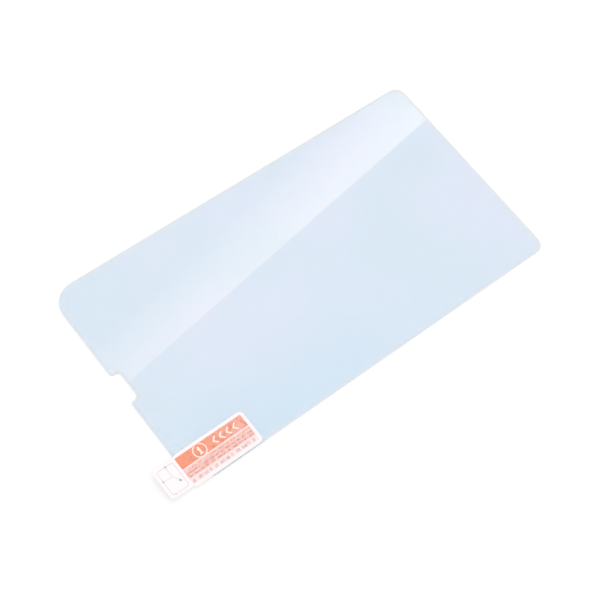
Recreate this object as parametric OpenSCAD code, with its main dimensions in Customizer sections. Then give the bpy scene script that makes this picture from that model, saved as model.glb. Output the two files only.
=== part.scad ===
// Tempered glass protector for a phone screen, as it comes out of its sleeve.
// It lies on its outer face, with the adhesive side up under its release film.
// The label on the film sticks out past the glass as a tab, to pull the film off by.
// Millimetres. The origin is the centre of the face that the glass lies on, +Z is up,
// and +X runs along the sheet, away from the end with the earpiece notch.

/* [Glass] */
// Length of the glass
glass_l = 136; // [100:0.5:170]
// Width of the glass
glass_w = 72.8; // [55:0.1:90]
// Thickness of the glass
glass_t = 0.33; // [0.3:0.01:0.6]
// Corner radius at the end with the notch
ear_end_r = 7.6; // [3:0.1:12]
// Corner radius at the plain end
plain_end_r = 3.6; // [2:0.1:10]
// Height of the rounded edge of the outer face
edge_h = 0.22; // [0.1:0.01:0.25]
// Distance that the rounded edge runs in over the outer face
edge_run = 0.6; // [0.2:0.05:0.9]
// Width of the ground arris along the adhesive side
arris = 0.04; // [0.02:0.01:0.05]

/* [Earpiece notch] */
// Width of the notch between its straight walls
notch_w = 9.6; // [6:0.1:20]
// Depth of the notch
notch_d = 2.8; // [2.2:0.1:5]
// Radius of the corners inside the notch
notch_inner_r = 1.6; // [0.5:0.1:2]
// Radius of the corners at the mouth of the notch
notch_mouth_r = 1.1; // [0.5:0.1:1.5]

/* [Adhesive and release film] */
// Thickness of the adhesive
adhesive_t = 0.15; // [0.1:0.01:0.3]
// Distance from the edge of the glass to the edge of the adhesive
adhesive_inset = 1; // [0.5:0.05:2]
// Thickness of the release film
film_t = 0.08; // [0.05:0.01:0.15]
// Distance from the edge of the glass to the edge of the release film
film_inset = 0.8; // [0.4:0.05:1.5]

/* [Label] */
// Length of the label over the glass
label_l = 24.2; // [18:0.1:40]
// Width of the label
label_w = 11.2; // [10.5:0.1:20]
// Thickness of the label
label_t = 0.08; // [0.05:0.01:0.15]
// Corner radius of the label
label_r = 1.5; // [0.5:0.1:3]
// Distance from the long edge of the glass to the label
label_margin = 0.3; // [0:0.1:10]
// Length of the label that reaches over the short edge before it narrows to the tab
shoulder_l = 0.5; // [0.2:0.1:2]

/* [Pull tab] */
// Length of the tab, from the short edge of the glass to its tip
tab_l = 7.7; // [6.5:0.1:15]
// Width of the tab
tab_w = 10; // [8.8:0.1:10.4]
// Corner radius of the tab
tab_r = 1.2; // [0.3:0.1:3]
// Radius of the upward curl of the tab
curl_r = 36; // [20:1:80]

/* [Heading print] */
// Height of one coat of ink
ink_t = 0.02; // [0.01:0.005:0.03]
// White border between the far end of the label and the print
print_margin = 1.05; // [0.5:0.05:2]
// Distance from the short edge of the glass to the print
print_start = 0.3; // [0:0.1:2]
// White border above the heading
heading_top = 1.2; // [0.6:0.1:1.4]
// Height of the heading
heading_h = 3.7; // [3:0.1:4]
// Distance from the start of the print to the centre of the ring
ring_x = 7.1; // [3:0.1:8]
// Outer radius of the ring
ring_r = 2.2; // [1.6:0.1:2.4]
// Line width of the ring
ring_line = 0.35; // [0.2:0.05:0.5]
// Height of the numeral inside the ring
numeral_h = 2.4; // [1.5:0.1:2.6]
// Number of arrowheads in the heading
arrow_count = 4; // [1:1:5]
// Distance from the start of the print to the first arrowhead
arrow_x = 11.5; // [10.5:0.1:13]
// Distance from one arrowhead to the next
arrow_pitch = 2.35; // [2:0.05:2.6]
// Height of an arrowhead
arrow_h = 2.3; // [1.5:0.1:2.6]
// Width of an arrowhead
arrow_w = 1.8; // [1.2:0.1:1.9]
// Stroke of an arrowhead
arrow_line = 0.7; // [0.4:0.05:0.9]

/* [Small print] */
// Gap between the heading and the pale field under it
field_gap = 0.45; // [0.2:0.05:0.6]
// Height of the pale field
field_h = 2.95; // [2.4:0.05:3.2]
// Number of lines in the pale field
field_lines = 3; // [1:1:3]
// Height of a line in the pale field
field_line_h = 0.4; // [0.3:0.05:0.6]
// Gap between the pale field and the last line
last_gap = 0.6; // [0.3:0.05:0.8]
// Height of the last line
last_line_h = 1; // [0.6:0.1:1.1]
// Distance from one word to the next
word_pitch = 1.9; // [1.6:0.1:3]

/* [Tab print] */
// Distance from the tip of the tab to its printed frame
frame_margin = 1; // [0.6:0.1:1.5]
// Length of the printed frame along the tab
frame_l = 5.8; // [4:0.1:6]
// Width of the printed frame across the tab
frame_w = 8.3; // [6:0.1:8.6]
// Line width of the printed frame
frame_line = 0.22; // [0.15:0.01:0.4]
// Radius of the dot at the end of the pointer
dot_r = 0.38; // [0.2:0.02:0.5]
// Radius of the dots on the lines of the frame
joint_dot_r = 0.32; // [0.2:0.02:0.5]

/* [Hidden] */

// Steps in a quarter turn of each corner
ear_steps = 14;
plain_steps = 10;
inner_steps = 8;
mouth_steps = 6;
// Steps in the rounded edge and in the curl of the tab
edge_steps = 6;
curl_steps = 10;
// Smallest radius of a corner that an inset has used up
least_r = 0.05;
// A cut starts this far outside what it cuts
clear = 0.5;

adhesive_z = glass_t;
film_z = adhesive_z + adhesive_t;
label_z = film_z + film_t;
label_y = -glass_w / 2 + label_margin + label_w / 2;

// The print is laid out from the short edge of the glass and the centreline of the label
print_l = label_l - print_margin - print_start;
heading_y = label_w / 2 - heading_top - heading_h;
field_y = heading_y - field_gap - field_h;
last_y = field_y - last_gap - last_line_h;
frame_x = -tab_l + frame_margin;

// Where the lines inside the frame part it, as shares of its length and width
part_x = 0.55;
part_y = 0.08;
// Length of the pointer as a share of the frame's width, and its turn in degrees
pointer_share = 0.3;
pointer_turn = -58;
// Place of the dot on the low side of the frame, as a share of the frame's length
low_dot_x = 0.18;

// Places in a ring of the first point of the ear's corner and the last one inside the notch
ear_first = plain_steps + 1;
notch_last = ear_first + ear_steps + mouth_steps + inner_steps + 2;

numeral_w = 0.5 * numeral_h;
stem_w = 0.25 * numeral_h;

$fn = 48;

function arc(cx, cy, r, from, sweep, steps) =
    [for (i = [0:steps]) let (a = from + sweep * i / steps) [cx + r * cos(a), cy + r * sin(a)]];

// The edge of a layer that lies inset from the edge of the glass, anticlockwise from above.
// An outer corner loses the inset from its radius and a corner inside the notch gains it.
function outline(inset) =
    let (
        end_x = glass_l / 2 - inset,
        side_y = glass_w / 2 - inset,
        ear_r = max(ear_end_r - inset, least_r),
        plain_r = max(plain_end_r - inset, least_r),
        mouth_r = max(min(notch_mouth_r, notch_d / 2) - inset, least_r),
        inner_r = min(notch_inner_r + inset, notch_d - mouth_r - least_r),
        wall_y = notch_w / 2 + inset,
        floor_x = inset + notch_d - glass_l / 2
    )
    concat(
        arc(end_x - plain_r, side_y - plain_r, plain_r, 0, 90, plain_steps),
        arc(ear_r - end_x, side_y - ear_r, ear_r, 90, 90, ear_steps),
        arc(mouth_r - end_x, wall_y + mouth_r, mouth_r, 180, 90, mouth_steps),
        arc(floor_x - inner_r, wall_y - inner_r, inner_r, 90, -90, inner_steps),
        arc(floor_x - inner_r, inner_r - wall_y, inner_r, 0, -90, inner_steps),
        arc(mouth_r - end_x, -wall_y - mouth_r, mouth_r, 90, 90, mouth_steps),
        arc(ear_r - end_x, ear_r - side_y, ear_r, 180, 90, ear_steps),
        arc(end_x - plain_r, plain_r - side_y, plain_r, 270, 90, plain_steps)
    );

function ring_at(inset, z) = [for (p = outline(inset)) [p[0], p[1], z]];

// One end of the glass in three pieces: the sheet as far as the floor of the notch, and the ear
// on each side of the notch. All of a piece can be seen from its first point, so that a fan of
// triangles from there fills it without a fold.
function end_pieces(n) = [
    concat(
        [for (i = [0:ear_first]) i],
        [notch_last, n - 1 - notch_last],
        [for (i = [n - 1 - ear_first:n - 1]) i]
    ),
    [for (i = [ear_first:notch_last]) i],
    concat([n - 1 - ear_first], [for (i = [n - 1 - notch_last:n - 2 - ear_first]) i])
];

// Skins a stack of rings that all have the same number of points, and closes both ends
module loft(rings) {
    n = len(rings[0]);
    last = len(rings) - 1;
    walls = [
        for (k = [0:last - 1], i = [0:n - 1])
            let (j = (i + 1) % n)
            [k * n + i, (k + 1) * n + i, (k + 1) * n + j, k * n + j]
    ];
    low_end = [
        for (piece = end_pieces(n), i = [1:len(piece) - 2])
            [piece[0], piece[i], piece[i + 1]]
    ];
    high_end = [for (f = low_end) [last * n + f[2], last * n + f[1], last * n + f[0]]];
    polyhedron([for (r = rings) each r], concat(low_end, high_end, walls));
}

module rounded_rect(l, w, r) {
    s = min(r, l / 2 - least_r, w / 2 - least_r);
    square([l - 2 * s, w], center = true);
    square([l, w - 2 * s], center = true);
    for (x = [s - l / 2, l / 2 - s], y = [s - w / 2, w / 2 - s])
        translate([x, y]) circle(s);
}

// The glass: flat where it lies, with a rounded edge that rises to a short upright wall
module tempered_glass() {
    rounded = [
        for (i = [0:edge_steps])
            let (a = 90 * i / edge_steps)
            ring_at(edge_run * (1 - sin(a)), edge_h * (1 - cos(a)))
    ];
    color([0.84, 0.89, 0.92, 0.5])
        loft(concat(rounded, [ring_at(0, glass_t - arris), ring_at(arris, glass_t)]));
}

module adhesive_layer() {
    color([0.86, 0.93, 0.97, 0.5])
        translate([0, 0, adhesive_z])
        linear_extrude(adhesive_t)
        polygon(outline(adhesive_inset));
}

module release_film() {
    color([0.8, 0.89, 0.96, 0.5])
        translate([0, 0, film_z])
        linear_extrude(film_t)
        polygon(outline(film_inset));
}

// Outline of the label: the part on the film and the tab, both as they lie flat
module label_shape() {
    translate([(label_l - shoulder_l) / 2, 0])
        rounded_rect(label_l + shoulder_l, label_w, label_r);
    translate([(label_l / 2 - tab_l) / 2, 0])
        rounded_rect(label_l / 2 + tab_l, tab_w, tab_r);
}

// A slab of label that follows the film and then curls up off the glass
module curled_slab(t) {
    turn = asin(min(0.9, (tab_l + clear) / curl_r));
    low = [
        for (i = [0:curl_steps])
            let (a = turn * i / curl_steps)
            [-curl_r * sin(a), curl_r * (1 - cos(a))]
    ];
    high = [
        for (i = [curl_steps:-1:0])
            let (a = turn * i / curl_steps)
            [(t - curl_r) * sin(a), curl_r + (t - curl_r) * cos(a)]
    ];
    rotate([90, 0, 0])
        linear_extrude(label_w + 2 * clear, center = true)
        polygon(concat(low, high, [[label_l + clear, t], [label_l + clear, 0]]));
}

// Cuts a flat shape out of the curled slab
module on_slab(t) {
    intersection() {
        curled_slab(t);
        linear_extrude(curl_r) children();
    }
}

// A plain numeral one, centred on the ring
module numeral() {
    translate([-stem_w / 2, -numeral_h / 2]) square([stem_w, numeral_h]);
    translate([-numeral_w / 2, -numeral_h / 2]) square([numeral_w, stem_w / 2]);
    polygon([
        [0, numeral_h / 2],
        [-numeral_w / 2, numeral_h / 2 - stem_w],
        [-numeral_w / 2, numeral_h / 2 - 1.8 * stem_w],
        [0, numeral_h / 2 - stem_w]
    ]);
}

// An arrowhead that points along the pull, with its tip at the origin
module arrowhead() {
    polygon([
        [0, 0],
        [arrow_w - arrow_line, arrow_h / 2],
        [arrow_w, arrow_h / 2],
        [arrow_line, 0],
        [arrow_w, -arrow_h / 2],
        [arrow_w - arrow_line, -arrow_h / 2]
    ]);
}

// The heading, with the ring, the numeral and the arrowheads left white
module heading_shape() {
    difference() {
        translate([print_start, heading_y]) square([print_l, heading_h]);
        translate([print_start + ring_x, heading_y + heading_h / 2]) {
            difference() {
                circle(ring_r);
                circle(ring_r - ring_line);
            }
            numeral();
        }
        for (i = [0:arrow_count - 1])
            translate([print_start + arrow_x + i * arrow_pitch, heading_y + heading_h / 2])
                arrowhead();
    }
}

// A line of blocks of uneven length, where the label has words too small to read
module line_of_words(y, h, seed) {
    for (i = [0:floor(print_l / word_pitch) - 1])
        translate([print_start + (i + 0.1) * word_pitch, y])
            square([word_pitch * (0.6 + 0.25 * sin(97 * i + 61 * seed)), h]);
}

module field_words() {
    pitch = field_h / field_lines;
    for (i = [0:field_lines - 1])
        line_of_words(field_y + pitch * (i + 0.5) - field_line_h / 2, field_line_h, i);
}

// The frame on the tab, parted into three panels, with a pointer into the largest and a dot
// on three of its lines
module tab_picture() {
    mid_x = frame_x + frame_l * part_x;
    mid_y = frame_w * part_y;
    pointer_l = frame_w * pointer_share;
    line_y = (frame_w - frame_line) / 2;
    difference() {
        translate([frame_x + frame_l / 2, 0]) rounded_rect(frame_l, frame_w, 3 * frame_line);
        translate([frame_x + frame_l / 2, 0])
            rounded_rect(frame_l - 2 * frame_line, frame_w - 2 * frame_line, 2 * frame_line);
    }
    translate([mid_x - frame_line / 2, mid_y])
        square([frame_line, frame_w / 2 - mid_y - frame_line / 2]);
    translate([frame_x + frame_line / 2, mid_y - frame_line / 2])
        square([mid_x - frame_x, frame_line]);
    translate([mid_x, mid_y]) rotate(pointer_turn) {
        translate([0, -frame_line / 2]) square([pointer_l, frame_line]);
        translate([pointer_l, 0]) circle(dot_r);
    }
    translate([mid_x, line_y]) circle(joint_dot_r);
    translate([frame_x + frame_line / 2, mid_y]) circle(joint_dot_r);
    translate([frame_x + frame_l * low_dot_x, -line_y]) circle(joint_dot_r);
}

// The label: white stock, one coat of ink in fields, and a second coat for the small lines
module pull_label() {
    translate([-glass_l / 2, label_y, label_z]) {
        color("white") on_slab(label_t) label_shape();
        color("coral") on_slab(label_t + ink_t) heading_shape();
        color("mistyrose") on_slab(label_t + ink_t)
            translate([print_start, field_y]) square([print_l, field_h]);
        color("indianred") on_slab(label_t + 2 * ink_t) field_words();
        color("rosybrown") on_slab(label_t + ink_t) line_of_words(last_y, last_line_h, 5);
        color("silver") on_slab(label_t + ink_t) tab_picture();
    }
}

tempered_glass();
adhesive_layer();
release_film();
pull_label();
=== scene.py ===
# %% [markdown]
# A tempered glass protector for a phone screen, as it comes out of its sleeve. The glass lies on
# its outer face. Its adhesive side is up, under a clear release film, and a printed label at one
# corner sticks out past the glass as a tab.
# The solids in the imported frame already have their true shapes, with the curl of the tab and the
# coats of ink, so no piece is modelled here. What is left is how the four of them look, and on a
# sheet of glass that is mostly what it lets through and what it mirrors.

# %% Load the frame
import math

import bpy
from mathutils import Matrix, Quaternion, Vector


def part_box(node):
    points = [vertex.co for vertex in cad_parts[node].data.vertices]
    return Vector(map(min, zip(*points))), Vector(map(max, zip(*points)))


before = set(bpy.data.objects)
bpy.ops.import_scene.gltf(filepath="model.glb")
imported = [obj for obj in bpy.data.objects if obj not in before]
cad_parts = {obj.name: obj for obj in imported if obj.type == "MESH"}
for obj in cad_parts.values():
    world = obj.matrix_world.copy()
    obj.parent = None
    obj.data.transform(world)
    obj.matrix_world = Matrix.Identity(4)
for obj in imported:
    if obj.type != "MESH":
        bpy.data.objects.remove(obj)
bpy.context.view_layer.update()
MM = 0.001
print("nodes:", ", ".join(sorted(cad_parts)))

# %% [markdown]
# Every colour pattern below is worked out from places on the object, so the places come first.
# The boxes of the nodes give most of them. The corners, the notch, the curl of the tab and the
# layout of the print aren't in any box, so their sizes are repeated here. On the label they are
# measured as on the real one: along it from the short edge of the glass, and across it from
# its centreline.

# %% Places on the object
GLASS_LOW, GLASS_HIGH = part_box("tempered_glass")
FILM_LOW, FILM_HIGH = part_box("release_film")
LABEL_LOW, LABEL_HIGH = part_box("pull_label")
SHORT_EDGE = GLASS_LOW.x
LABEL_MIDDLE = (LABEL_LOW.y + LABEL_HIGH.y) / 2
FILM_MIDDLE = (FILM_LOW.z + FILM_HIGH.z) / 2
LABEL_T = 0.08 * MM
INK_T = 0.02 * MM
CURL_R = 36 * MM
EAR_END_R = 7.6 * MM
PLAIN_END_R = 3.6 * MM
NOTCH_W = 9.6 * MM
NOTCH_D = 2.8 * MM
HEADING_LOW = 0.7 * MM
HEADING_HIGH = 4.4 * MM
FIELD_HIGH = 0.25 * MM
FIELD_LOW = -2.7 * MM
LAST_LOW = -4.3 * MM
PRINT_START = 0.3 * MM
PRINT_END = 23.15 * MM
print("label centreline in mm:", round(LABEL_MIDDLE / MM, 2))

# %% [markdown]
# The camera stands where the photograph was taken from. It could be moved about by eye until
# the outlines agree, but the sheet is a plain rectangle, which allows a better way. Its four
# edges, carried to their two vanishing points, give the direction, the roll and the lens. The
# numbers are rounded from that fit.

# %% Camera
AIM = Vector((-7.47, -6.78, 0)) * MM
AZIMUTH, ELEVATION, ROLL = (math.radians(angle) for angle in (-52.381, 62.223, 15.764))
DISTANCE = 420.5 * MM
LENS = 84.03
SENSOR_WIDTH = 36
NEAREST = 10 * MM

back = Vector((
    math.sin(AZIMUTH) * math.cos(ELEVATION),
    -math.cos(AZIMUTH) * math.cos(ELEVATION),
    math.sin(ELEVATION),
))
bpy.ops.object.camera_add(location=AIM + back * DISTANCE)
camera = bpy.context.object
camera.rotation_mode = "QUATERNION"
camera.rotation_quaternion = (-back).to_track_quat("-Z", "Y") @ Quaternion((0, 0, 1), ROLL)
camera.data.lens = LENS
camera.data.sensor_width = SENSOR_WIDTH
camera.data.clip_start = NEAREST
bpy.context.scene.camera = camera
bpy.context.scene.view_settings.view_transform = "Standard"
print("camera at mm:", [round(x / MM, 1) for x in camera.location])

# %% [markdown]
# A material is a tree of nodes, and a tree written node by node is hard to read. This small
# class wraps one output of a tree, so that sums on it are written as sums: each operator adds
# the Math node it stands for. Every other kind of node is made by one method, which sets the
# node up first and then fills its sockets with numbers, colours or other outputs.

# %% Shader maths
class Flow:
    """One output in a material's tree, that maths can be written on."""

    def __init__(self, tree, output=None):
        self.tree = tree
        self.output = output

    def node(self, kind, settings=None, values=None, out=0):
        """Adds a node to this tree and gives one of its outputs."""
        made = self.tree.nodes.new(kind)
        for name, value in (settings or {}).items():
            setattr(made, name, value)
        for name, value in (values or {}).items():
            if isinstance(value, Flow):
                self.tree.links.new(value.output, made.inputs[name])
            else:
                made.inputs[name].default_value = value
        return Flow(self.tree, made.outputs[out])

    def math(self, operation, first, second=0.0):
        return self.node("ShaderNodeMath", {"operation": operation}, {0: first, 1: second})

    def __add__(self, other):
        return self.math("ADD", self, other)

    def __radd__(self, other):
        return self.math("ADD", other, self)

    def __sub__(self, other):
        return self.math("SUBTRACT", self, other)

    def __rsub__(self, other):
        return self.math("SUBTRACT", other, self)

    def __mul__(self, other):
        return self.math("MULTIPLY", self, other)

    def __rmul__(self, other):
        return self.math("MULTIPLY", other, self)

    def __truediv__(self, other):
        return self.math("DIVIDE", self, other)

    def __rtruediv__(self, other):
        return self.math("DIVIDE", other, self)

    def __gt__(self, other):
        return self.math("GREATER_THAN", self, other)

    def __lt__(self, other):
        return self.math("LESS_THAN", self, other)

    def mix(self, low, high):
        """The colour low where this output is 0, and high where it is 1."""
        factor, first, second = 0, 6, 7
        return self.node(
            "ShaderNodeMix",
            {"data_type": "RGBA"},
            {factor: self, first: low, second: high},
            out=2,
        )


print("maths written on a Flow adds its own nodes")

# %% [markdown]
# Each material below starts as an empty tree and reads where a point lies on the object, so
# these steps get names of their own. A colour is given as it would be read off a screen, from 0
# to 255. A shader wants the share of the light instead, so the screen's curve is undone.

# %% Materials, places and colours
def new_material(name):
    """A material with an empty tree, and the flow that its nodes are made from."""
    made = bpy.data.materials.new(name)
    made.use_nodes = True
    made.node_tree.nodes.clear()
    return made, Flow(made.node_tree)


def finish_surface(flow, shader):
    """Links a shader to the material's output."""
    output = flow.tree.nodes.new("ShaderNodeOutputMaterial")
    flow.tree.links.new(shader.output, output.inputs["Surface"])


def parts(vector):
    """The x, y and z of a vector, each as a flow."""
    split = vector.node("ShaderNodeSeparateXYZ", values={0: vector})
    outputs = split.output.node.outputs
    return [Flow(vector.tree, outputs[axis]) for axis in "XYZ"]


def place(flow):
    """The point on the object as a vector, and its x, y and z, in metres."""
    point = flow.node("ShaderNodeTexCoord", out="Object")
    return point, *parts(point)


def seen(red, green, blue):
    """The colour that a shader takes, from the colour on the screen."""
    def linear(value):
        share = value / 255
        return share / 12.92 if share <= 0.04045 else ((share + 0.055) / 1.055) ** 2.4
    return (*(linear(value) for value in (red, green, blue)), 1.0)


def grey(light):
    """A grey that gives back this share of the light."""
    return (light, light, light, 1.0)


print("half grey on the screen is", round(seen(128, 128, 128)[0], 3), "of the light")

# %% [markdown]
# In the photograph the paper under the sheet is burnt out to pure white, with only a breath of
# shadow beside the tab. A lamp strong enough for that would burn out the sheet as well, so the
# floor gives off a little light of its own, which only the camera, mirrors and glass see. The
# part of it that is lit still takes the shadow. The floor lies a hair below the glass, because
# where two faces share one place, Blender may show either of them.

# %% Floor
FLOOR_SIDE = 6.0
FLOOR_GAP = 0.02 * MM
FLOOR_TONE = 0.32
FLOOR_GLOW = 0.68


def seen_directly(flow):
    """1 for a ray from the camera, a mirror or glass, and 0 for light on its way to a surface."""
    rays = flow.node("ShaderNodeLightPath").output.node.outputs
    found = Flow(flow.tree, rays["Is Camera Ray"])
    for name in ("Is Glossy Ray", "Is Transmission Ray"):
        found = flow.math("MAXIMUM", found, Flow(flow.tree, rays[name]))
    return found


bpy.ops.object.select_all(action="DESELECT")
bpy.ops.mesh.primitive_plane_add(size=FLOOR_SIDE, location=(0, 0, -FLOOR_GAP))
floor = bpy.context.object
floor.name = "floor"
floor_white, flow = new_material("floor_white")
finish_surface(flow, flow.node("ShaderNodeBsdfPrincipled", values={
    "Base Color": grey(FLOOR_TONE),
    "Roughness": 1.0,
    "Specular IOR Level": 0.0,
    "Emission Color": seen_directly(flow).mix(grey(0), grey(FLOOR_GLOW)),
    "Emission Strength": 1.0,
}))
floor.data.materials.append(floor_white)
print("floor tone:", FLOOR_TONE, "floor glow:", FLOOR_GLOW)

# %% [markdown]
# The world is plain white and lights the sheet evenly from all round. A picture of a studio
# could light it too, but it would bring mirror images that the photograph doesn't show.

# %% World
WORLD_LIGHT = 1.0

world = bpy.data.worlds.new("studio")
world.use_nodes = True
world.node_tree.nodes.clear()
flow = Flow(world.node_tree)
background = flow.node("ShaderNodeBackground", values={
    "Color": (1, 1, 1, 1),
    "Strength": WORLD_LIGHT,
})
world_output = world.node_tree.nodes.new("ShaderNodeOutputWorld")
world.node_tree.links.new(background.output, world_output.inputs["Surface"])
bpy.context.scene.world = world
print("world light:", WORLD_LIGHT)

# %% [markdown]
# A wide, soft key lamp stands to the right and behind, as the faint shadow to the lower left of
# the tab shows. A large area lamp near the sheet would do, but its light falls off across the
# floor. A sun with a large angle is as soft and the same everywhere, so the white stays even.

# %% Key lamp
KEY_STRENGTH = 0.3
KEY_ANGLE = math.radians(30)
KEY_FROM = Vector((0.55, 0.6, 0.75))

bpy.ops.object.light_add(type="SUN")
key = bpy.context.object
key.name = "key_lamp"
key.data.energy = KEY_STRENGTH
key.data.angle = KEY_ANGLE
key.visible_glossy = False
key.rotation_mode = "QUATERNION"
key.rotation_quaternion = (-KEY_FROM).to_track_quat("-Z", "Y")
print("key lamp from:", [round(side, 2) for side in KEY_FROM.normalized()])

# %% [markdown]
# A bright band lies across the film, with one sharp edge. It is the mirror image of a lit card.
# It could be painted on the film, but paint would stay where it is when the view turns, and a
# mirror image doesn't. To put a real card in the right place, the camera is mirrored in the
# film: each line from the mirrored camera through a point of the film goes on to what that
# point shows. A level card then has the same outline as its image on the film, only larger, so
# it can be laid out in millimetres on the film and scaled up.

# %% Band on the film
BAND_START = Vector((-72.7, -0.5, 0)) * MM
BAND_END = Vector((75.2, 22.3, 0)) * MM
BAND_WIDTH_START = 14 * MM
BAND_WIDTH_END = 23 * MM
CARD_SCALE = 2.0

film_top = FILM_HIGH.z
mirrored = Vector((camera.location.x, camera.location.y, 2 * film_top - camera.location.z))


def on_card(point):
    """Where the card lies that a point of the film's top mirrors."""
    at = Vector((point.x, point.y, film_top))
    return mirrored + (at - mirrored) * CARD_SCALE


band_along = (BAND_END - BAND_START).normalized()
band_across = Vector((-band_along.y, band_along.x, 0))
print("card height in mm:", round(on_card(BAND_START).z / MM, 1))

# %% [markdown]
# The card itself is a plane whose four corners are moved to their places. Only mirrors see it,
# and it casts no shadow.

# %% Reflected card
corners = [
    BAND_START,
    BAND_END,
    BAND_START + band_across * BAND_WIDTH_START,
    BAND_END + band_across * BAND_WIDTH_END,
]
bpy.ops.object.select_all(action="DESELECT")
bpy.ops.mesh.primitive_plane_add()
card = bpy.context.object
card.name = "reflected_card"
for vertex, corner in zip(card.data.vertices, corners):
    vertex.co = on_card(corner)
card.visible_camera = False
card.visible_diffuse = False
card.visible_transmission = False
card.visible_shadow = False
print("card corners:", len(card.data.vertices))

# %% [markdown]
# The card's light is strongest along its sharp edge and towards the plain end of the sheet, and
# rosier at the end with the notch. A see-through card would do for the fade, but here the card
# stays whole and fades to the white of the world, so that its far side can't be told from what
# is behind it. The light holds a little before it falls.

# %% Light of the card
CARD_GLOW_START = (1.36, 0.72, 0.5)
CARD_GLOW_END = (2.2, 1.86, 1.15)
CARD_HOLD = 0.5

card_light, flow = new_material("card_light")
point, x, y, z = place(flow)
start = on_card(BAND_START)
length = (BAND_END - BAND_START).length * CARD_SCALE
along = ((x - start.x) * band_along.x + (y - start.y) * band_along.y) / length
across = (x - start.x) * band_across.x + (y - start.y) * band_across.y
width = (along * (BAND_WIDTH_END - BAND_WIDTH_START) + BAND_WIDTH_START) * CARD_SCALE
fade = across / width
share = (1 - fade) * (1 + fade * CARD_HOLD)
rosy, bright = (
    (*(WORLD_LIGHT + glow for glow in colour), 1.0)
    for colour in (CARD_GLOW_START, CARD_GLOW_END)
)
finish_surface(flow, flow.node("ShaderNodeBsdfPrincipled", values={
    "Base Color": grey(0),
    "Roughness": 1.0,
    "Specular IOR Level": 0.0,
    "Emission Color": share.mix(grey(WORLD_LIGHT), along.mix(rosy, bright)),
    "Emission Strength": 1.0,
}))
card.data.materials.append(card_light)
print("brightest light of the card:", [round(light, 2) for light in bright[:3]])

# %% [markdown]
# Glass, adhesive and film are all clear. A shader that bends light as glass does would be true
# to life, but sheets this thin hardly bend it, and the noise would cost many samples. So each
# is made as a thin veil: the surface's alpha says how much of its own colour it lays over what
# is behind. Where two of the layers are stuck together, their faces neither shine nor tint, as
# on the real thing, where light passes from one into the next without a mirror between. So only
# the faces that meet the air carry a tint: the underside and the edge of the glass, and the top
# of the film.
# The blue greys off in the last two millimetres of the sheet. That grey is painted shade, which
# stands in for the light that the rounded edge of the glass bends. How far a place lies past the
# edge is worked out as for a box with rounded corners, larger ones at the end with the notch, and
# is less than nothing on the sheet. The notch is a second box, and the nearer of the two counts.

# %% Distance from the edge of the sheet
PAINTED_RIM_SHADE_REACH = 2.2 * MM


# Its share is the mask of the painted rim shade on the glass and the film.
def painted_rim_shade_share(flow, x, y):
    """0 on the sheet at large, rising to 1 at its edge."""
    def above(value, least):
        return flow.math("MAXIMUM", value, least)

    def length(first, second):
        return flow.math("SQRT", first * first + second * second)

    corner_r = (x < 0) * (EAR_END_R - PLAIN_END_R) + PLAIN_END_R
    across = flow.math("ABSOLUTE", y)
    past_x = flow.math("ABSOLUTE", x) - (GLASS_HIGH.x - corner_r)
    past_y = across - (GLASS_HIGH.y - corner_r)
    inside = flow.math("MINIMUM", above(past_x, past_y), 0.0)
    past_edge = length(above(past_x, 0.0), above(past_y, 0.0)) + inside - corner_r
    from_notch = length(above(x - (GLASS_LOW.x + NOTCH_D), 0.0), above(across - NOTCH_W / 2, 0.0))
    past_edge = above(past_edge, -1 * from_notch)
    share = above(past_edge / PAINTED_RIM_SHADE_REACH + 1, 0.0)
    return share * share


print("rim in mm:", PAINTED_RIM_SHADE_REACH / MM)

# %% [markdown]
# The glass is faintly blue. Its ground edge, and its underside near the edge, are painted greyer:
# painted shade for the light that has a longer way through the glass there and is bent by the
# rounded edge. The edge could have a material of its own, but the solid is one piece, so the tilt
# of the surface tells the edge from the flat faces.

# %% Tempered glass
GLASS_TONE = seen(129, 188, 253)
# Painted shade: the grey of the ground edge and of the underside near the edge.
GLASS_EDGE_PAINTED_SHADE = seen(178, 198, 214)
GLASS_RIM_PAINTED_SHADE = seen(150, 182, 200)
GLASS_VEIL = 0.308
GLASS_EDGE_VEIL = 0.33
GLASS_ROUGHNESS = 0.03
GLASS_IOR = 1.52
EDGE_SLOPE = 0.1


def level(flow):
    """1 where the surface lies flat, falling to 0 as it tilts."""
    upright = flow.math("ABSOLUTE", parts(flow.node("ShaderNodeTexCoord", out="Normal"))[2])
    return 1 - flow.math("MINIMUM", (1 - upright) / EDGE_SLOPE, 1.0)


tempered_glass, flow = new_material("tempered_glass")
point, x, y, z = place(flow)
flat = level(flow)
underside = z < (GLASS_LOW.z + GLASS_HIGH.z) / 2
# Tilted faces take the painted edge shade, and flat faces near the edge take the painted rim
# shade.
finish_surface(flow, flow.node("ShaderNodeBsdfPrincipled", values={
    "Base Color": flat.mix(GLASS_EDGE_PAINTED_SHADE, painted_rim_shade_share(flow, x, y).mix(GLASS_TONE, GLASS_RIM_PAINTED_SHADE)),
    "Alpha": flat * underside * GLASS_VEIL + (1 - flat) * GLASS_EDGE_VEIL,
    "Roughness": GLASS_ROUGHNESS,
    "IOR": GLASS_IOR,
    "Specular IOR Level": 1.0,
}))
print("nodes in the glass:", len(tempered_glass.node_tree.nodes))

# %% [markdown]
# The adhesive is a layer of clear silicone. It is stuck to the glass below and to the film
# above, so all that shows of it is its edge, a little cloudy where dust has caught on it. The
# edge is a seventh of a millimetre high, so fine noise is enough for the dust.

# %% Adhesive
ADHESIVE_TONE = seen(214, 230, 240)
ADHESIVE_DUSTY = seen(196, 206, 212)
ADHESIVE_VEIL = 0.15
ADHESIVE_ROUGHNESS = 0.5
DUST_SCALE = 400.0

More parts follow.
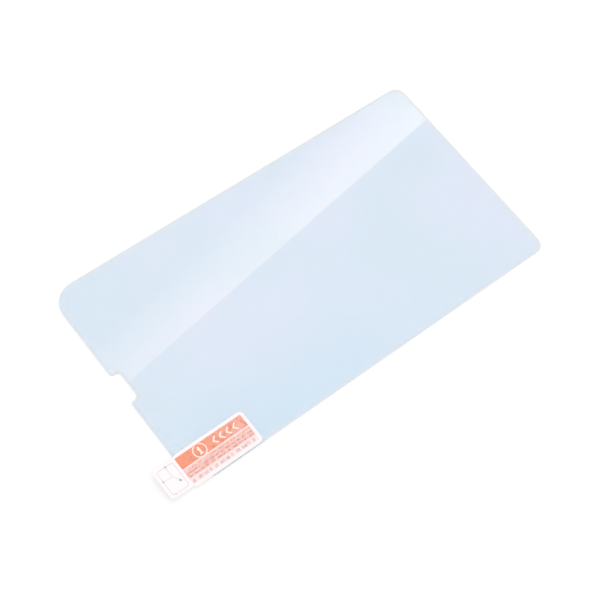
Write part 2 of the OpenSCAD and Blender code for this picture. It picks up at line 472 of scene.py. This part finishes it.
adhesive, flow = new_material("adhesive")
point, x, y, z = place(flow)
dust = flow.node("ShaderNodeTexNoise", values={
    "Vector": point, "Scale": DUST_SCALE, "Detail": 2.0,
})
finish_surface(flow, flow.node("ShaderNodeBsdfPrincipled", values={
    "Base Color": dust.mix(ADHESIVE_TONE, ADHESIVE_DUSTY),
    "Alpha": (1 - level(flow)) * ADHESIVE_VEIL,
    "Roughness": ADHESIVE_ROUGHNESS,
}))
print("nodes in the adhesive:", len(adhesive.node_tree.nodes))

# %% [markdown]
# The release film carries the rest of the blue. It isn't quite even: it drifts between a
# greener and a more violet blue over a centimetre or two, and it deepens towards the long edge
# beside the label. Soft noise in the film's own coordinates drifts like that and needs no
# unwrapping. The noise is shifted to a stretch of it that suits the sheet.

# %% Blue of the film
FILM_CYAN = seen(218, 247, 238)
FILM_LILAC = seen(247, 247, 251)
FILM_DEEP = seen(175, 235, 240)
# Painted shade: the grey that the film's blue takes near the edge of the sheet.
FILM_RIM_PAINTED_SHADE = seen(240, 236, 222)
DRIFT_SCALE = 30.0
DRIFT_LOW = 0.4
DRIFT_HIGH = 0.6
DRIFT_SHIFT = Vector((-687.7, -1103.2, 0)) * MM
DEEP_MIDDLE = Vector((-33, -36)) * MM
DEEP_REACH = Vector((52, 20)) * MM

release_film, flow = new_material("release_film")
point, x, y, z = place(flow)
shifted = flow.node("ShaderNodeVectorMath", {"operation": "ADD"}, {0: point, 1: DRIFT_SHIFT})
drift = flow.node("ShaderNodeTexNoise", values={
    "Vector": shifted, "Scale": DRIFT_SCALE, "Detail": 1.0, "Roughness": 0.4,
})
tint = flow.node("ShaderNodeMapRange", values={
    "Value": drift, "From Min": DRIFT_LOW, "From Max": DRIFT_HIGH,
})
deep_x = (x - DEEP_MIDDLE.x) / DEEP_REACH.x
deep_y = (y - DEEP_MIDDLE.y) / DEEP_REACH.y
deep = flow.math("EXPONENT", -1 * (deep_x * deep_x + deep_y * deep_y))
blue = deep.mix(tint.mix(FILM_CYAN, FILM_LILAC), FILM_DEEP)
# Near the edge the blue is mixed towards the painted rim shade.
blue = painted_rim_shade_share(flow, x, y).mix(blue, FILM_RIM_PAINTED_SHADE)
print("blue deepest at mm:", [round(side / MM) for side in DEEP_MIDDLE])

# %% [markdown]
# The film isn't quite flat either, which bends the edge of the mirrored card. The waves are only
# a hundredth of a millimetre high, far too low to model, so a bump in the material turns the
# mirror. Alpha thins a mirror image along with the colour, so the film gets a higher index of
# refraction than plastic has, and its specular level stands at 1 instead of the usual half.

# %% Release film
FILM_VEIL = 0.2
FILM_ROUGHNESS = 0.01
FILM_IOR = 2.0
WAVE_SCALE = 70.0
WAVE_STRENGTH = 0.1
WAVE_HEIGHT = 0.01 * MM

waves = flow.node("ShaderNodeTexNoise", values={
    "Vector": point, "Scale": WAVE_SCALE, "Detail": 1.0,
})
bump = flow.node("ShaderNodeBump", values={
    "Height": waves, "Strength": WAVE_STRENGTH, "Distance": WAVE_HEIGHT,
})
finish_surface(flow, flow.node("ShaderNodeBsdfPrincipled", values={
    "Base Color": blue,
    "Alpha": (z > FILM_MIDDLE) * FILM_VEIL,
    "Roughness": FILM_ROUGHNESS,
    "IOR": FILM_IOR,
    "Specular IOR Level": 1.0,
    "Normal": bump,
}))
print("nodes in the film:", len(release_film.node_tree.nodes))

# %% [markdown]
# The label is white plastic film with two coats of ink. A picture laid over it would be the
# quick way, but the solid already has the print in it: the ink stands a hair above the stock.
# So its height tells the coats apart, and the place along and across the label tells the
# fields apart. On the tab the stock curls up along a circle, and the height is measured from
# that circle.

# %% Coats of ink on the label
pull_label, flow = new_material("pull_label")
point, x, y, z = place(flow)
from_edge = x - SHORT_EDGE
from_middle = y - LABEL_MIDDLE
on_tab = flow.math("MINIMUM", from_edge, 0.0)
inner_r = CURL_R - LABEL_T
stock_top = LABEL_LOW.z + CURL_R - flow.math("SQRT", inner_r**2 - on_tab * on_tab)
rise = z - stock_top
coat_1 = rise > INK_T / 2
coat_2 = rise > INK_T + INK_T / 2
print("thickness of a coat in mm:", INK_T / MM)

# %% [markdown]
# What is too small to read on the label is greeked: set as rows of uneven strokes. Each stroke
# takes its tone from white noise on a grid of cells, which is the same on every run. Soft noise
# over the larger fields stands for ink that took unevenly.

# %% Strokes and uneven ink
STROKE_L = 0.3 * MM
ROW_H = 0.98 * MM
MOTTLE_SCALE = 900.0
MOTTLE_LOW = 0.35
MOTTLE_HIGH = 0.65

row = (from_middle - FIELD_LOW) / ROW_H
stroke_cell = flow.node("ShaderNodeCombineXYZ", values={
    "X": flow.math("FLOOR", from_edge / STROKE_L),
    "Y": flow.math("FLOOR", row),
})
stroke = flow.node("ShaderNodeTexWhiteNoise", {"noise_dimensions": "2D"}, {"Vector": stroke_cell})
mottle = flow.node("ShaderNodeTexNoise", values={
    "Vector": point, "Scale": MOTTLE_SCALE, "Detail": 3.0,
})
uneven = flow.node("ShaderNodeMapRange", values={
    "Value": mottle, "From Min": MOTTLE_LOW, "From Max": MOTTLE_HIGH,
})
print("strokes in a row:", round((PRINT_END - PRINT_START) / STROKE_L))

# %% [markdown]
# The stock is white plastic film. A little ink has bled into the white that the print leaves
# free, so the numeral and the arrowheads are cream, and the gaps between the fields are pink.
# The pink creeps a little past the print as well, below the last line and towards the tab.

# %% White stock
STOCK = seen(251, 244, 246)
STOCK_PINK = seen(251, 240, 241)
STOCK_BLED = seen(250, 228, 224)
STOCK_CREAM = seen(252, 236, 224)
CREEP = 0.2 * MM


def between(value, low, high):
    """1 where a value lies between two others."""
    return (value > low) * (value < high)


printed = between(from_edge, 0, PRINT_END)
stock = (uneven * (from_edge > 0)).mix(STOCK, STOCK_PINK)
stock = (printed * between(from_middle, LAST_LOW - CREEP, HEADING_LOW)).mix(stock, STOCK_BLED)
stock = (printed * between(from_middle, HEADING_LOW, HEADING_HIGH)).mix(stock, STOCK_CREAM)
print("print length in mm:", round(PRINT_END / MM, 2))

# %% [markdown]
# The first coat of ink makes the orange heading, which pales away from the tab and has taken
# unevenly. The test for where it lies is moved a hair off its side, so that no side of the ink
# falls on the border between two colours.

# %% Heading
HEADING_NEAR = seen(245, 154, 121)
HEADING_FAR = seen(247, 184, 170)
HEADING_THIN = seen(232, 142, 118)
HAIR = 0.1 * MM

in_heading = from_middle > HEADING_LOW - HAIR
along = from_edge / PRINT_END
heading = (along * along).mix(HEADING_NEAR, HEADING_FAR)
heading = (uneven * uneven).mix(heading, HEADING_THIN)
print("heading height in mm:", round((HEADING_HIGH - HEADING_LOW) / MM, 2))

# %% [markdown]
# The first coat also makes the pale field under the heading, and the second coat makes words on
# it in three rows. Modelling every stroke would take thousands of faces too small to see, so
# the rows run on between the raised words as fainter strokes in the colour alone. The top row
# has taken least ink.

# %% Pale field
FIELD_PALE = seen(250, 210, 204)
FIELD_DEEP = seen(238, 178, 168)
WORD = seen(208, 134, 124)
WORD_THIN = seen(236, 184, 176)
WORD_TOP = seen(222, 158, 146)
WORD_TOP_THIN = seen(252, 224, 217)
ROW_SHARE = 0.45
TOP_ROW = 2

in_field = from_middle > FIELD_LOW - HAIR
from_row = flow.math("ABSOLUTE", flow.math("FRACT", row) - 0.5)
faint_words = (from_row < ROW_SHARE / 2) * (1 - stroke)
field = faint_words.mix(uneven.mix(FIELD_PALE, FIELD_DEEP), WORD_THIN)
words = (row > TOP_ROW).mix(stroke.mix(WORD, WORD_THIN), stroke.mix(WORD_TOP, WORD_TOP_THIN))
print("row height in mm:", ROW_H / MM)

# %% [markdown]
# The last line stands by itself under the field, in raised words of the first coat. What isn't
# heading or field is last line, so the three colours are laid over each other in that order.

# %% Last line
LAST_WORD = seen(212, 172, 178)
LAST_THIN = seen(244, 218, 220)

last = stroke.mix(LAST_WORD, LAST_THIN)
ink = in_heading.mix(in_field.mix(last, field), heading)
print("last line from the centreline in mm:", round(LAST_LOW / MM, 2))

# %% [markdown]
# The print doesn't end as sharply as its raised coat does. Towards the tab the ink has run up to
# the edge of the glass, and over the heading it has crept a little up the white border. That
# ink has no height of its own, so its place alone says where it is: round the raised coats of
# the heading and the field, but not in the gap between them.

# %% Crept ink
in_coats = between(from_middle, FIELD_LOW, HEADING_HIGH) * (from_edge > PRINT_START)
in_gap = between(from_middle, FIELD_HIGH, HEADING_LOW)
crept = printed * between(from_middle, FIELD_LOW, HEADING_HIGH + CREEP)
crept = crept * (1 - in_coats) * (1 - in_gap)
print("ink crept past the coat in mm:", [PRINT_START / MM, CREEP / MM])

# %% [markdown]
# The picture on the tab is drawn in thin grey lines, with a grey dot at the end of its pointer
# and one where its middle line meets the frame, and a pink dot on each of its long sides, of
# which one is faint. The lines and dots are raised too, so a dot is all the ink within reach of
# its centre.

# %% Picture on the tab
TAB_LINE = seen(226, 221, 223)
POINTER_GREY = seen(190, 177, 180)
JOINT_GREY = seen(204, 199, 201)
SIDE_PINK = seen(222, 178, 192)
SIDE_PINK_FAINT = seen(236, 214, 221)
DOT_REACH = 0.42 * MM
TAB_DOTS = {
    (-2.19, -1.45): POINTER_GREY,
    (-6.55, 0.66): JOINT_GREY,
    (-3.5, 4.0): SIDE_PINK,
    (-5.7, -4.0): SIDE_PINK_FAINT,
}

tab_ink = TAB_LINE
for (dot_along, dot_across), tone in TAB_DOTS.items():
    away_x = from_edge - dot_along * MM
    away_y = from_middle - dot_across * MM
    away = flow.math("SQRT", away_x * away_x + away_y * away_y)
    tab_ink = (away < DOT_REACH).mix(tab_ink, tone)
print("dots on the tab:", len(TAB_DOTS))

# %% [markdown]
# Now the coats are laid over each other, as they are printed: the stock, the first coat on the
# label and on the tab, and the second coat. Ink is a little smoother than the bare film.

# %% Label
STOCK_ROUGHNESS = 0.4
INK_ROUGHNESS = 0.3

ink = (from_edge < 0).mix(ink, tab_ink)
ink = coat_2.mix(ink, words)
inked = flow.math("MAXIMUM", coat_1, crept)
finish_surface(flow, flow.node("ShaderNodeBsdfPrincipled", values={
    "Base Color": inked.mix(stock, ink),
    "Roughness": inked * (INK_ROUGHNESS - STOCK_ROUGHNESS) + STOCK_ROUGHNESS,
}))
print("nodes in the label:", len(pull_label.node_tree.nodes))

# %% [markdown]
# Each piece is one node of the frame with one material slot, so a finish goes on whole. The
# adhesive and the film are left out of the shadow, because clear silicone and clear film take
# next to no light away from the floor, and the glass below them casts the same outline.

# %% Give the nodes their materials
FINISHES = {
    "tempered_glass": tempered_glass,
    "adhesive_layer": adhesive,
    "release_film": release_film,
    "pull_label": pull_label,
}
for name, finish in FINISHES.items():
    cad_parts[name].material_slots[0].material = finish
for name in ("adhesive_layer", "release_film"):
    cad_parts[name].visible_shadow = False
print("finished nodes:", len(FINISHES))

# %% [markdown]
# A ray through the sheet passes a see-through face for each side of each layer, and more along
# an edge. The limit on such faces is raised, so that no ray stops short and turns black.

# %% Light paths
SEE_THROUGH_FACES = 32

bpy.context.scene.cycles.transparent_max_bounces = SEE_THROUGH_FACES
print("see-through faces on one ray:", SEE_THROUGH_FACES)
